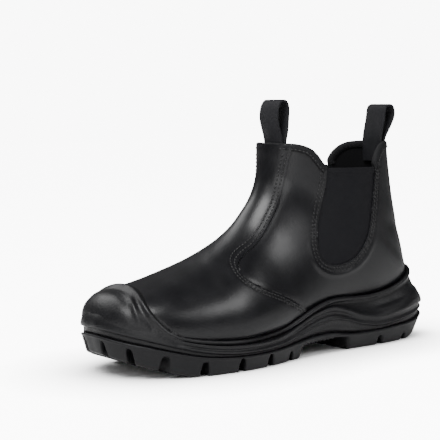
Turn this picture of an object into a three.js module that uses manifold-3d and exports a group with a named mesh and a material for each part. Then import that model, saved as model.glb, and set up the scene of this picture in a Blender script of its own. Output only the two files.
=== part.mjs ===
// A slip-on safety boot with a steel toe, for the left foot: a leather upper with elastic gores, webbing pull loops,
// and a moulded sole that runs up over the toe and the heel. Millimetres, +Z up, +X from heel to toe, +Y to the
// wearer's left, which is the outer side of the foot.
import * as THREE from "three";
import { mergeVertices } from "three/addons/utils/BufferGeometryUtils.js";
import Module from "manifold-3d";

const wasm = await Module();
wasm.setup();

// Driving sizes.
const LENGTH = 305; // sole, heel to toe
const BALL_WIDTH = 108; // sole, across the ball of the foot
const COLLAR_HEIGHT = 165; // floor to the front of the collar
const SIDE_HEIGHT = 42; // floor to the sole's lip at the shank
const WALL = 2.3; // leather and lining together
const VAMP_STEP = 1.0; // the vamp lies this far over the quarters
const GORE_WALL = 1.6; // elastic
const GORE_SET_IN = 0.4; // the elastic lies this far under the leather's face
const TAPE_WALL = 0.9; // binding over the collar's edge
const TAPE_DEPTH = 5; // how far the binding reaches down from the edge
const LOOP_WIDTH = 25; // webbing across
const WEBBING = 1.7; // webbing's own thickness
const LOOP_RISE = 33; // collar to the top of a loop
const LOOP_EYE = 7.5; // widest gap inside a loop
const LOOP_TAB = 17; // how far a loop's sewn end reaches down inside the collar
const BUMPER_WALL = 2.8; // sole's skin over the toe and the heel
const LASTING_MARGIN = 8; // leather turned in under the foot
const FOOTBED = 4.5; // insole over its board
const LUG_DEPTH = 7; // grooves of the tread
const GROOVE_WIDTH = 5.5; // between two lugs
const CHANNEL_WIDTH = 5; // groove along the middle of the tread
const GAP = 0.3; // between two pieces that touch

// The upper's sections fan out from upright at the toe to nearly level at the collar. Each lies between a point on
// the instep line and one on the underfoot or back line. Columns: instep point x and z, underfoot point x and z,
// half width to the left and to the right, shift to the left, where along the section it is widest, and how square
// its upper and its lower half are. x is in hundredths of LENGTH, z of COLLAR_HEIGHT, widths and shift of BALL_WIDTH.
const SECTIONS = [
  [96.9, 23.4, 96.9, 22.2, 2.0, 2.0, -5.0, 0.5, 2.0, 2.0],
  [96.4, 27.6, 96.4, 20.0, 12.5, 12.5, -5.0, 0.5, 2.0, 2.0],
  [95.3, 31.4, 95.3, 18.4, 21.3, 21.3, -4.9, 0.45, 2.0, 2.2],
  [93.4, 34.4, 93.6, 16.8, 29.3, 29.0, -4.7, 0.42, 2.1, 2.4],
  [90.4, 36.4, 90.7, 14.8, 36.3, 36.0, -4.2, 0.4, 2.2, 2.6],
  [86.0, 38.3, 86.5, 12.6, 42.6, 42.6, -3.4, 0.36, 2.2, 2.8],
  [79.8, 41.2, 80.5, 10.9, 46.9, 46.9, -2.2, 0.32, 2.1, 3.0],
  [72.6, 45.6, 73.2, 9.8, 49.3, 48.6, -0.8, 0.3, 2.0, 3.0],
  [66.6, 50.4, 65.6, 9.6, 49.8, 46.2, 0.4, 0.28, 1.9, 3.0],
  [61.0, 56.0, 55.7, 10.8, 46.0, 41.0, 0.6, 0.28, 1.85, 2.9],
  [56.7, 62.0, 45.2, 13.4, 39.4, 35.6, 0.2, 0.3, 1.85, 2.8],
  [53.6, 68.2, 34.8, 16.7, 34.8, 32.8, 0.0, 0.34, 1.9, 2.7],
  [51.1, 74.2, 23.6, 18.5, 33.0, 32.2, 0.0, 0.4, 1.95, 2.5],
  [49.5, 80.3, 11.8, 19.6, 32.4, 31.8, 0.0, 0.46, 2.0, 2.3],
  [48.5, 86.0, 3.6, 25.5, 32.4, 31.8, 0.0, 0.52, 2.05, 2.1],
  [48.0, 91.0, 4.2, 38.0, 32.6, 32.0, 0.0, 0.54, 2.1, 2.0],
  [47.8, 95.2, 6.1, 53.0, 32.8, 32.3, 0.0, 0.55, 2.1, 2.0],
  [47.6, 98.8, 7.8, 68.0, 32.9, 32.5, 0.0, 0.56, 2.1, 2.0],
  [47.4, 101.8, 8.8, 81.0, 33.0, 32.7, 0.0, 0.56, 2.1, 2.0],
  [47.3, 104.8, 9.5, 93.0, 33.1, 32.9, 0.0, 0.56, 2.1, 2.0],
  [47.2, 110.0, 10.2, 106.0, 33.2, 33.0, 0.0, 0.56, 2.1, 2.0],
];
// Lines on the upper as the side view shows them: x in hundredths of LENGTH, z in hundredths of COLLAR_HEIGHT.
const VAMP_SEAM = [
  [43.4, 104.0], [44.2, 96.4], [44.9, 89.4], [46.0, 80.1], [47.9, 71.3], [50.9, 63.5], [53.9, 57.6], [57.1, 53.3],
  [60.0, 50.6], [62.7, 47.6], [64.0, 44.8], [64.0, 41.6], [62.4, 38.4], [58.8, 34.8], [53.9, 31.2], [50.2, 27.9],
  [47.4, 25.1], [44.6, 21.5], [42.0, 15.0],
];
const GORE_EDGE = [
  [35.9, 87.2], [36.2, 79.4], [37.3, 70.0], [38.8, 58.6], [39.2, 49.6], [38.2, 44.6], [35.4, 41.7], [31.5, 41.6],
  [27.7, 44.0], [24.9, 48.8], [22.7, 56.4], [21.0, 70.5], [19.3, 86.2],
];
const FRONT_RIM = [[35.9, 87.2], [37.2, 89.8], [38.4, 93.0], [40.1, 96.2], [42.6, 98.2], [45.5, 99.0], [49.8, 99.4]];
const REAR_RIM = [[19.3, 86.2], [19.5, 88.8], [18.1, 92.8], [15.7, 96.1], [12.5, 97.3], [4.5, 97.6]];
// Upper edge of the sole's skin over the toe, from the lip up to the middle of the toe.
const BUMPER_EDGE = [[81.0, 14.0], [83.4, 18.6], [86.2, 21.2], [88.3, 25.5], [89.2, 30.6], [88.6, 35.2], [86.2, 40.0]];

// The sole's widest outline in plan, from the middle of the heel to the middle of the toe. Columns: x in hundredths
// of LENGTH, left and right edge in hundredths of BALL_WIDTH.
const OUTLINE = [
  [-1.4, 0.0, 0.0], [-0.7, 9.0, -9.0], [1.4, 17.0, -17.0], [5.2, 24.5, -24.0], [11.0, 30.5, -29.5],
  [20.0, 34.3, -32.5], [31.0, 35.6, -32.0], [41.0, 37.5, -31.0], [49.0, 42.0, -33.0], [56.5, 48.3, -38.5],
  [64.0, 52.4, -45.0], [71.0, 53.0, -49.5], [78.0, 50.8, -50.6], [84.5, 45.5, -48.8], [90.0, 37.0, -43.8],
  [94.3, 27.0, -36.2], [97.2, 14.5, -25.0], [98.5, 3.5, -14.0], [98.6, -4.8, -4.8],
];
// Heights up the sole's side, along the foot. Columns: x in hundredths of LENGTH; then, in hundredths of
// SIDE_HEIGHT, the lip under the leather, the wave ridge, the moulded side's lower edge, the outsole's upper edge
// and the outsole's underside; then, in hundredths of BALL_WIDTH, how far the wave ridge stands out, how deep the
// hollow over it is, and how far the tread's edge is set in.
const SIDE = [
  [-1.4, 139.0, 69.0, 58.0, 48.0, 26.0, 0.9, 2.2, 5.5],
  [1.4, 138.0, 68.5, 56.0, 44.0, 12.0, 0.9, 2.2, 5.5],
  [5.2, 128.0, 68.0, 51.0, 38.5, 3.0, 0.9, 2.0, 5.5],
  [8.5, 116.0, 65.5, 48.0, 36.0, 0.0, 0.9, 1.8, 5.5],
  [13.0, 105.0, 61.0, 44.0, 34.5, 0.0, 0.8, 1.8, 5.5],
  [20.0, 97.0, 55.7, 41.0, 31.7, 0.0, 0.6, 1.7, 5.5],
  [26.0, 97.0, 62.0, 47.0, 31.0, 0.0, 0.3, 1.5, 5.5],
  [31.0, 100.0, 75.0, 58.0, 33.0, 0.0, 0.2, 1.5, 5.5],
  [36.0, 100.0, 83.8, 64.0, 38.5, 0.0, 0.2, 1.5, 5.0],
  [42.0, 91.0, 76.5, 57.5, 38.0, 0.0, 0.1, 1.4, 5.0],
  [48.0, 75.0, 62.0, 46.0, 34.0, 0.0, 0.0, 1.0, 4.5],
  [53.0, 62.0, 52.0, 38.5, 30.5, 0.0, 0.0, 0.7, 3.5],
  [58.0, 56.5, 46.5, 35.3, 28.8, 0.0, 0.0, 0.6, 3.0],
  [65.0, 54.8, 45.0, 34.2, 28.4, 0.0, 0.0, 0.5, 3.0],
  [72.0, 57.0, 47.5, 37.0, 30.4, 0.0, 0.0, 0.5, 3.0],
  [79.0, 64.0, 55.5, 45.5, 36.4, 0.0, 0.0, 0.4, 3.0],
  [85.0, 74.0, 66.5, 57.0, 46.4, 7.0, 0.0, 0.3, 3.2],
  [91.0, 86.0, 79.5, 70.5, 58.5, 19.0, 0.0, 0.2, 3.5],
  [95.5, 96.0, 89.5, 81.0, 67.5, 31.0, 0.0, 0.1, 3.8],
  [98.6, 101.0, 96.0, 89.0, 76.0, 41.0, 0.0, 0.0, 4.0],
];
const LIP_ROUND = 1.4; // radius of the lip's bead
const GROOVE_DEPTH = 1.6; // shadow groove between the moulded side and the outsole
const TREAD_CHAMFER = 2; // outsole's lower edge
// Transverse grooves of the tread along the foot, in hundredths of LENGTH, and how far each fans round the toe, in
// degrees; then the arch, from the heel's breast to the end of the forefoot tread, and its height over the floor.
const FORE_GROOVES = [[58.8, 0], [68.2, 0], [77.8, 4], [86.4, 10]];
const HEEL_GROOVES = [[10.0, 0], [19.5, 0]];
const [TOES_FROM, TOES_TO] = [83, 91.5]; // in hundredths of LENGTH
const BREAST = 30.5;
const FORE_TREAD_END = 47.5;
const ARCH_RISE = 26; // in hundredths of SIDE_HEIGHT

const shareOf = (size) => size / 100;
const X = shareOf(LENGTH);
const Z = shareOf(COLLAR_HEIGHT);
const Y = shareOf(BALL_WIDTH);
const S = shareOf(SIDE_HEIGHT);

const COLOURS = {
  leather: 0x232427, elastic: 0x17181b, tape: 0x1b1c1f, webbing: 0x1a1b1d, sole: 0x1f2023, outsole: 0x1a1b1d,
  footbed: 0x2a2b2e,
};

const clamp = THREE.MathUtils.clamp;

// A row of a table at a place between its rows, by a smooth curve through them.
function between(rows, place) {
  const last = rows.length - 1;
  const i = Math.min(Math.floor(clamp(place, 0, last)), last - 1);
  const t = clamp(place, 0, last) - i;
  const at = (k) => rows[clamp(k, 0, last)];
  return rows[i].map((_, c) => {
    const [a, b, d, e] = [at(i - 1)[c], at(i)[c], at(i + 1)[c], at(i + 2)[c]];
    return b + 0.5 * t * (d - a + t * (2 * a - 5 * b + 4 * d - e + t * (3 * (b - d) + e - a)));
  });
}

// A row of a table whose first column is x, at a given x.
function rowAt(rows, x) {
  const last = rows.length - 1;
  const share = clamp(x, rows[0][0], rows[last][0]);
  const i = Math.min(rows.findIndex((row, k) => k === last || rows[k + 1][0] >= share), last - 1);
  const at = (k) => rows[clamp(k, 0, last)];
  const [p, q, r, s] = [at(i - 1), at(i), at(i + 1), at(i + 2)];
  const span = r[0] - q[0];
  const t = (share - q[0]) / span;
  return q.map((_, c) => {
    if (c === 0) return share;
    const m0 = ((r[c] - p[c]) / (r[0] - p[0])) * span;
    const m1 = ((s[c] - q[c]) / (s[0] - q[0])) * span;
    const t2 = t * t;
    const t3 = t2 * t;
    return (2 * t3 - 3 * t2 + 1) * q[c] + (t3 - 2 * t2 + t) * m0 + (3 * t2 - 2 * t3) * r[c] + (t3 - t2) * m1;
  });
}

const SECTION_SCALE = [X, Z, X, Z, Y, Y, Y, 1, 1, 1];
const sectionAt = (place) => between(SECTIONS, place).map((value, c) => value * SECTION_SCALE[c]);

// A point of the upper's outer form: place runs from toe to collar, angle from the instep line round by the left.
function bareForm(place, angle) {
  const [tx, tz, bx, bz, left, right, shift, widest, squareTop, squareLow] = sectionAt(place);
  const side = Math.sin(angle);
  const up = Math.cos(angle);
  const power = 2 / (up >= 0 ? squareTop : squareLow);
  const share = widest + (up >= 0 ? 1 - widest : -widest) * Math.abs(up) ** power;
  const half = side >= 0 ? left : right;
  const y = shift + Math.sign(side) * half * Math.abs(side) ** power;
  return new THREE.Vector3(bx + (tx - bx) * share, y, bz + (tz - bz) * share);
}

function formPoint(place, angle, out) {
  const step = 0.02;
  const along = bareForm(place + step, angle).sub(bareForm(place - step, angle));
  const round = bareForm(place, angle + step).sub(bareForm(place, angle - step));
  const normal = round.cross(along).normalize();
  return bareForm(place, angle).addScaledVector(normal, out);
}

function solidOf(geometry) {
  geometry.deleteAttribute("normal");
  geometry.deleteAttribute("uv");
  const merged = mergeVertices(geometry, 1e-4);
  return new wasm.Manifold(new wasm.Mesh({
    numProp: 3,
    vertProperties: merged.attributes.position.array,
    triVerts: new Uint32Array(merged.index.array),
  }));
}

function solidFrom(points, faces) {
  const geometry = new THREE.BufferGeometry();
  geometry.setAttribute("position", new THREE.Float32BufferAttribute(points.flatMap((p) => [p.x, p.y, p.z]), 3));
  geometry.setIndex(faces.flat());
  return solidOf(geometry);
}

// The upper's form, moved out by a distance, as a closed solid.
function formSolid(out, rings, sides) {
  const points = [];
  const faces = [];
  const last = SECTIONS.length - 1;
  for (let i = 0; i <= rings; i++)
    for (let k = 0; k < sides; k++) points.push(formPoint((i / rings) * last, (k / sides) * 2 * Math.PI, out));
  const index = (i, k) => i * sides + (k % sides);
  for (let i = 0; i < rings; i++)
    for (let k = 0; k < sides; k++) {
      faces.push([index(i, k), index(i, k + 1), index(i + 1, k)]);
      faces.push([index(i, k + 1), index(i + 1, k + 1), index(i + 1, k)]);
    }
  for (const [ring, flip] of [[0, true], [rings, false]]) {
    const middle = new THREE.Vector3();
    for (let k = 0; k < sides; k++) middle.addScaledVector(points[index(ring, k)], 1 / sides);
    points.push(middle);
    for (let k = 0; k < sides; k++) {
      const [a, b] = [index(ring, k), index(ring, k + 1)];
      faces.push([points.length - 1, flip ? b : a, flip ? a : b]);
    }
  }
  return solidFrom(points, faces);
}

// A prism across the boot from an outline in the side view.
function sidePrism(outline) {
  const reach = BALL_WIDTH;
  const shape = new THREE.Shape(outline.map(([x, z]) => new THREE.Vector2(x, z)));
  const geometry = new THREE.ExtrudeGeometry(shape, { depth: 2 * reach, bevelEnabled: false });
  geometry.rotateX(Math.PI / 2);
  geometry.translate(0, reach, 0);
  return solidOf(geometry);
}

const onUpper = (line) => line.map(([x, z]) => [x * X, z * Z]);

// A finer curve through the points of a line.
function smoothLine(line, stepsPerPoint) {
  const count = (line.length - 1) * stepsPerPoint;
  return Array.from({ length: count + 1 }, (_, k) => between(line, k / stepsPerPoint));
}

// A line in the side view moved to its left by a distance.
function shiftLine(line, distance) {
  return line.map(([x, z], k) => {
    const before = line[Math.max(k - 1, 0)];
    const after = line[Math.min(k + 1, line.length - 1)];
    const [dx, dz] = [after[0] - before[0], after[1] - before[1]];
    const long = Math.hypot(dx, dz);
    return [x - (dz / long) * distance, z + (dx / long) * distance];
  });
}

const unite = (...solids) => solids.reduce((all, next) => all.add(next));

// Stations round the sole's outline, with the outward direction at each: left side from heel to toe, then right.
const STATIONS_PER_ROW = 2;
function outlineStations() {
  const last = OUTLINE.length - 1;
  const count = last * STATIONS_PER_ROW;
  const at = (place, side) => {
    const row = between(OUTLINE, place);
    return new THREE.Vector2(row[0] * X, row[side] * Y);
  };
  const station = (k, side) => {
    const place = k / STATIONS_PER_ROW;
    const here = at(place, side);
    const step = 0.05;
    const ends = { 0: new THREE.Vector2(-1, 0), [count]: new THREE.Vector2(1, 0) };
    const along = at(place + step, side).sub(at(place - step, side)).normalize();
    const out = ends[k] ?? (side === 1 ? new THREE.Vector2(-along.y, along.x) : new THREE.Vector2(along.y, -along.x));
    return { here, out, share: here.x / X };
  };
  const left = Array.from({ length: count + 1 }, (_, k) => station(k, 1));
  const right = Array.from({ length: count - 1 }, (_, k) => station(count - 1 - k, 2));
  return [...left, ...right];
}
const STATIONS = outlineStations();
const HALF = (OUTLINE.length - 1) * STATIONS_PER_ROW;

// A closed body from levels round the outline, top first. A level gives, at a station, the distance out and z.
function ringStack(levels) {
  const count = STATIONS.length;
  const points = levels.flatMap((level) => STATIONS.map((station) => {
    const [out, z] = level(station);
    return new THREE.Vector3(station.here.x + station.out.x * out, station.here.y + station.out.y * out, z);
  }));
  const faces = [];
  for (let j = 0; j + 1 < levels.length; j++)
    for (let k = 0; k < count; k++) {
      const [a, b] = [j * count + k, j * count + ((k + 1) % count)];
      faces.push([a, b, a + count], [b, b + count, a + count]);
    }
  const rightOf = (k) => (k === 0 || k === HALF ? k : count - k);
  for (const [base, top] of [[0, true], [(levels.length - 1) * count, false]])
    for (let k = 0; k < HALF; k++) {
      const [a, b, c, d] = [k, k + 1, rightOf(k), rightOf(k + 1)].map((i) => base + i);
      const halves = [[a, c, d], [a, d, b]].filter((f) => new Set(f).size === 3);
      for (const [p, q, r] of halves) faces.push(top ? [p, q, r] : [p, r, q]);
    }
  return solidFrom(points, faces);
}

// Whether a point lies inside the upper's form: finds the section through it in the side view, then its half width.
function insideForm(x, y, z) {
  const last = SECTIONS.length - 1;
  const above = (place) => {
    const [tx, tz, bx, bz] = sectionAt(place);
    return (x - bx) * (tz - bz) - (z - bz) * (tx - bx) < 0;
  };
  let [low, high] = [0, last];
  if (!above(low) || above(high)) return false;
  for (let k = 0; k < 24; k++) {
    const middle = (low + high) / 2;
    if (above(middle)) low = middle;
    else high = middle;
  }
  const [tx, tz, bx, bz, left, right, shift, widest, squareTop, squareLow] = sectionAt(low);
  const share = ((x - bx) * (tx - bx) + (z - bz) * (tz - bz)) / ((tx - bx) ** 2 + (tz - bz) ** 2);
  if (share <= 0 || share >= 1) return false;
  const far = share > widest ? (share - widest) / (1 - widest) : (widest - share) / widest;
  const square = share > widest ? squareTop : squareLow;
  const half = (y > shift ? left : right) * (1 - far ** square) ** (1 / square);
  return Math.abs(y - shift) < half;
}

// How far inside the sole's outline the upper's form lies, at a station and a height.
function formInset(station, z) {
  const most = BALL_WIDTH * 0.3;
  const inside = (d) => insideForm(station.here.x - station.out.x * d, station.here.y - station.out.y * d, z);
  let far = 0;
  while (far < most && !inside(far)) far += 1;
  let near = far - 1;
  for (let k = 0; k < 12; k++) {
    const middle = (near + far) / 2;
    if (inside(middle)) far = middle;
    else near = middle;
  }
  return far;
}

function sideAt(station) {
  const [, lip, ridge, lower, bead, floor, proud, hollow, setIn] = rowAt(SIDE, station.share);
  return {
    lip: lip * S, ridge: ridge * S, lower: lower * S, bead: bead * S, floor: Math.max(floor, 0) * S,
    proud: proud * Y, hollow: hollow * Y, setIn: setIn * Y,
  };
}
for (const station of STATIONS) {
  station.side = sideAt(station);
  const wall = station.share > 80 ? BUMPER_WALL * 0.6 : BUMPER_WALL;
  station.lipOut = Math.min(0, wall + GAP - formInset(station, station.side.lip));
}

// Underfoot line of the upper, from heel to toe, as the side view shows it.
const UNDERFOOT = SECTIONS.slice(0, 14).map(([, , x, z]) => [x, z]).reverse();
const underfootAt = (share) => rowAt(UNDERFOOT, share)[1] * Z;

// Upper ends at this line: over the front rim, straight across each gore, and over the rear rim.
const frontRim = smoothLine(onUpper(FRONT_RIM), 2);
const rearRim = smoothLine(onUpper(REAR_RIM), 2);
const goreEdge = smoothLine(onUpper(GORE_EDGE), 2);
const vampSeam = smoothLine(onUpper(VAMP_SEAM), 1);
const past = 40; // how far a cutting outline reaches past the boot

// What lies under the collar's line, raised by a distance, with the gores' openings left in or out.
function underCollar(raise) {
  const front = shiftLine(frontRim, raise);
  const rear = shiftLine(rearRim, -raise);
  const frontEnd = front.at(-1);
  const rearEnd = rear.at(-1);
  return sidePrism([
    ...front.slice().reverse(), ...rear, [rearEnd[0] - past, rearEnd[1]], [-past, -past], [LENGTH + past, -past],
    [LENGTH + past, frontEnd[1]], [frontEnd[0] + past, frontEnd[1]],
  ]);
}

// The opening for the elastic, or the elastic itself, from the gore's edge and the straight top between its ends.
const goreOutline = (shrink, raise) => {
  const edge = shiftLine(goreEdge, -shrink);
  const ends = [edge[0], edge.at(-1)].map(([x, z]) => [x, z + raise]);
  return raise > 0 ? [ends[0], ...edge, ends[1]] : edge;
};

// How finely the upper's outer and inner faces are divided, along the foot and round it.
const [RINGS, SIDES, INNER_RINGS, INNER_SIDES] = [30, 30, 24, 24];
const outerForm = formSolid(0, RINGS, SIDES);
const innerForm = formSolid(-WALL, INNER_RINGS, INNER_SIDES);
const clearForm = formSolid(GAP, RINGS, SIDES);

// Upper: one hollow shell, with the vamp as a step over the quarters.
const vampRegion = sidePrism([
  ...vampSeam, [vampSeam.at(-1)[0], -past], [LENGTH + past, -past], [LENGTH + past, vampSeam[0][1]],
]);
const tapeClear = TAPE_DEPTH + GAP + TAPE_WALL;
const vampTop = sidePrism([
  [-past, -past], [LENGTH + past, -past], [LENGTH + past, frontRim.at(-1)[1] - tapeClear],
  ...shiftLine(frontRim, -tapeClear).reverse(), [-past, frontRim[0][1] - tapeClear],
]);
const lipLine = STATIONS.slice(0, HALF + 1).map(({ here, side }) => [here.x, side.lip]);
const overLip = sidePrism([
  ...lipLine.map(([x, z]) => [x, z + 2 * GAP]), [LENGTH + past, lipLine.at(-1)[1]],
  [LENGTH + past, COLLAR_HEIGHT], [-past, COLLAR_HEIGHT],
]);
const bumperEdge = smoothLine(onUpper(BUMPER_EDGE), 2);
const behindBumper = sidePrism([
  [-past, 0], ...bumperEdge.map(([x, z]) => [x - GAP, z]), [bumperEdge.at(-1)[0], COLLAR_HEIGHT * 1.1],
  [-past, COLLAR_HEIGHT * 1.1],
]);
const vampStep = formSolid(VAMP_STEP, RINGS, SIDES).intersect(vampRegion).intersect(vampTop).intersect(overLip)
  .intersect(behindBumper);

for (const station of STATIONS) {
  const low = Math.max(station.side.bead + 6, underfootAt(station.share) + 4);
  station.lasting = -Math.min(formInset(station, low) + LASTING_MARGIN, BALL_WIDTH * 0.2);
  station.lastingShare = (station.here.x + station.out.x * station.lasting) / X;
}
const underfootPlug = (shrink, below, above) => ringStack([above, below].map((raise) => (station) => [
  station.lasting - shrink, underfootAt(station.lastingShare) + raise,
]));

const upper = unite(outerForm, vampStep)
  .subtract(innerForm)
  .intersect(underCollar(0))
  .subtract(sidePrism(goreOutline(0, COLLAR_HEIGHT)))
  .subtract(underfootPlug(0, -WALL * 3, WALL * 2));

// Elastic gores, one each side.
const goreLayer = formSolid(-GORE_SET_IN, RINGS, SIDES).subtract(formSolid(-GORE_SET_IN - GORE_WALL, RINGS, SIDES))
  .intersect(sidePrism(goreOutline(GAP, 0)));
const sideOfBoot = (left) => {
  const box = new THREE.BoxGeometry(LENGTH * 2, BALL_WIDTH, COLLAR_HEIGHT * 3);
  box.translate(0, (left ? 1 : -1) * BALL_WIDTH / 2, 0);
  return solidOf(box);
};

// Binding tape folded over the edge of the collar.
const insideOf = (depth) => formSolid(-depth, INNER_RINGS, INNER_SIDES);
const tapeBody = formSolid(GAP + TAPE_WALL, RINGS, SIDES).subtract(insideOf(WALL + GAP + TAPE_WALL));
const leatherClear = clearForm.subtract(insideOf(WALL + GAP)).intersect(underCollar(GAP));
function binding(rim, side) {
  const over = shiftLine(rim, side * (GAP + TAPE_WALL));
  const under = shiftLine(rim, -side * TAPE_DEPTH);
  const corner = goreEdge[side > 0 ? 0 : goreEdge.length - 1][1];
  const drop = (line) => line.map(([x, z], k) => (k === 0 ? [x, Math.max(z, corner)] : [x, z]));
  return tapeBody.intersect(sidePrism([...drop(over), ...drop(under).reverse()])).subtract(leatherClear)
    .subtract(sidePrism(goreOutline(-GAP, GAP)));
}

// A webbing pull loop. Its sewn end follows the inside of the collar and it flattens as it rises. End is +1 at the
// front of the boot and -1 at the back; lean is how far its top leans out.
function pullLoop(end, lean) {
  const rim = end > 0 ? frontRim : rearRim;
  const top = rim.at(-1)[1];
  const rimAt = (y) => {
    let [out, inside] = [end > 0 ? LENGTH * 0.7 : -LENGTH * 0.1, LENGTH * 0.28];
    for (let k = 0; k < 24; k++) {
      const x = (out + inside) / 2;
      if (insideForm(x, y, top - TAPE_DEPTH)) inside = x;
      else out = x;
    }
    return inside;
  };
  const middle = rimAt(0);
  const sag = end * (middle - rimAt((LOOP_WIDTH + WALL) / 2));
  const face = middle - end * (WALL + 2 * GAP);
  const ply = WEBBING;
  const foot = top - LOOP_TAB;
  const rise = top + LOOP_RISE;
  const at = (inward, z) => {
    const up = clamp((z - top) / LOOP_RISE, 0, 1);
    const slope = rimSlope(end, z);
    return new THREE.Vector2(face - end * inward + slope + end * lean * up * up, z);
  };
  const outside = [
    at(0, foot), at(0, top - 6), at(0, top + 2), at(-1.0, top + 9), at(-1.2, top + 18), at(0.2, rise - 6),
    at(2.2, rise - 1.6), at(ply + LOOP_EYE / 2, rise), at(2 * ply + LOOP_EYE - 2, rise - 2),
    at(2 * ply + LOOP_EYE, rise - 7), at(2 * ply + LOOP_EYE - 1, top + 17), at(2 * ply + 2.2, top + 9),
    at(2 * ply, top + 3), at(2 * ply, top - 6), at(2 * ply, foot),
  ];
  const eye = [
    at(ply, top + 5), at(ply - 1.0, top + 10), at(ply - 1.1, top + 18), at(ply + 0.3, rise - 7),
    at(ply + 1.4, rise - 3.4), at(ply + LOOP_EYE / 2, rise - ply), at(ply + LOOP_EYE - 1.6, rise - 3.6),
    at(ply + LOOP_EYE, rise - 7.4), at(ply + LOOP_EYE - 1, top + 17), at(ply + 2, top + 9.5),
  ];
  const shape = new THREE.Shape(outside);
  shape.holes.push(new THREE.Path(end > 0 ? eye : eye.reverse()));
  const geometry = new THREE.ExtrudeGeometry(shape, { depth: LOOP_WIDTH, steps: 4, bevelEnabled: false });
  geometry.rotateX(Math.PI / 2);
  geometry.translate(0, LOOP_WIDTH / 2, 0);
  const position = geometry.getAttribute("position");
  for (let k = 0; k < position.count; k++) {
    const across = position.getY(k) / (LOOP_WIDTH / 2);
    const flat = clamp((position.getZ(k) - top) / (LOOP_RISE * 0.8), 0, 1);
    position.setX(k, position.getX(k) - end * sag * across * across * (1 - flat));
  }
  return solidOf(geometry);
}
// How far the collar's wall leans away from upright between a height and the rim, at the front or the back.
function rimSlope(end, z) {
  const rows = SECTIONS.slice(15).map(([tx, tz, bx, bz]) => (end > 0 ? [tz, tx] : [bz, bx]));
  const rim = (end > 0 ? FRONT_RIM : REAR_RIM).at(-1)[1] - TAPE_DEPTH / Z;
  return (rowAt(rows, Math.min(z / Z, rim))[1] - rowAt(rows, rim)[1]) * X;
}
const LOOP_LEAN = { front: -2.5, rear: 7 };
const frontLoop = pullLoop(1, LOOP_LEAN.front).subtract(leatherClear);
const rearLoop = pullLoop(-1, LOOP_LEAN.rear).subtract(leatherClear);
// Behind a loop the binding covers only the outer half of the edge, because the webbing comes out along the lining.
const loopSlot = formSolid(-WALL / 2, RINGS, SIDES).intersect(solidOf(
  new THREE.BoxGeometry(LENGTH * 3, LOOP_WIDTH + 4 * GAP, COLLAR_HEIGHT * 3),
));

// Sole: the moulded side goes round the foot under the lip, and its skin climbs over the toe and up the heel.
const skirtEdge = [
  ...lipLine.filter(([x]) => x < bumperEdge[0][0]), ...bumperEdge,
  [LENGTH + past, bumperEdge.at(-1)[1]], [LENGTH + past, COLLAR_HEIGHT],
];
const skirtLow = SIDE.map(([x, , , , bead]) => [x * X, bead * S + 2]);
const skirt = sidePrism([
  [-past, lipLine[0][1]], ...skirtEdge.slice(0, -1), [LENGTH + past, skirtLow.at(-1)[1]],
  ...skirtLow.slice().reverse(), [-past, skirtLow[0][1]],
]);
const skin = formSolid(BUMPER_WALL, RINGS, SIDES).intersect(skirt);
const sideWall = ringStack([
  ({ side, lipOut }) => [lipOut - LIP_ROUND, side.lip],
  ({ side, lipOut }) => [lipOut, side.lip - LIP_ROUND],
  ({ side, lipOut }) => [(lipOut + side.proud) / 2 - side.hollow, (side.lip - LIP_ROUND + side.ridge) / 2],
  ({ side }) => [side.proud, side.ridge],
  ({ side }) => [side.proud * 0.3 - 0.4, (side.ridge + side.lower) / 2],
  ({ side }) => [0, side.lower],
  ({ side }) => [-GROOVE_DEPTH, side.lower - 1],
  ({ side }) => [-GROOVE_DEPTH, side.bead],
]);
// Under the toes the foot comes down to the outsole, so the moulding is open there.
const underToes = sidePrism([
  [TOES_FROM * X, -past], [TOES_TO * X, -past], [TOES_TO * X, SIDE_HEIGHT], [TOES_FROM * X, SIDE_HEIGHT],
]);
const toeOpening = underfootPlug(LASTING_MARGIN, -SIDE_HEIGHT, 0).intersect(underToes);
const midsole = unite(sideWall, skin).subtract(clearForm).subtract(toeOpening);

// Outsole: tread under the heel and the forefoot, raised in a plain arch between them.
const outsoleBody = ringStack([
  ({ side }) => [-GROOVE_DEPTH, side.bead - GAP],
  ({ side }) => [-0.4, side.bead - GAP - 0.8],
  ({ side }) => [-side.setIn + TREAD_CHAMFER * 0.5, side.floor + TREAD_CHAMFER],
  ({ side }) => [-side.setIn - TREAD_CHAMFER * 0.5, side.floor],
]);
const archTop = ARCH_RISE * S;
const arch = sidePrism([
  [BREAST * X, -past], [BREAST * X + 1.5, archTop * 0.8], [BREAST * X + 5, archTop],
  [FORE_TREAD_END * X - 7, archTop * 0.8], [FORE_TREAD_END * X, -past],
]);
function groove(place, fan, width) {
  const floor = rowAt(SIDE, place)[5] * S;
  const box = new THREE.BoxGeometry(width, BALL_WIDTH * 1.3, LUG_DEPTH * 2);
  box.rotateZ(THREE.MathUtils.degToRad(fan));
  box.translate(place * X, 0, Math.max(floor, 0));
  return solidOf(box);
}
function channel(from, to) {
  const box = new THREE.BoxGeometry((to - from) * X, CHANNEL_WIDTH, LUG_DEPTH * 2);
  box.translate(((from + to) / 2) * X, -BALL_WIDTH * 0.01, 0);
  return solidOf(box);
}
const cuts = [
  arch,
  ...FORE_GROOVES.map(([place, fan]) => groove(place, fan, GROOVE_WIDTH)),
  ...HEEL_GROOVES.map(([place, fan]) => groove(place, fan, GROOVE_WIDTH)),
  channel(FORE_TREAD_END - 2, FORE_GROOVES.at(-1)[0]),
  channel(HEEL_GROOVES[0][0], BREAST + 2),
];
const outsole = cuts.reduce((body, cut) => body.subtract(cut), outsoleBody.subtract(clearForm));

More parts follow.
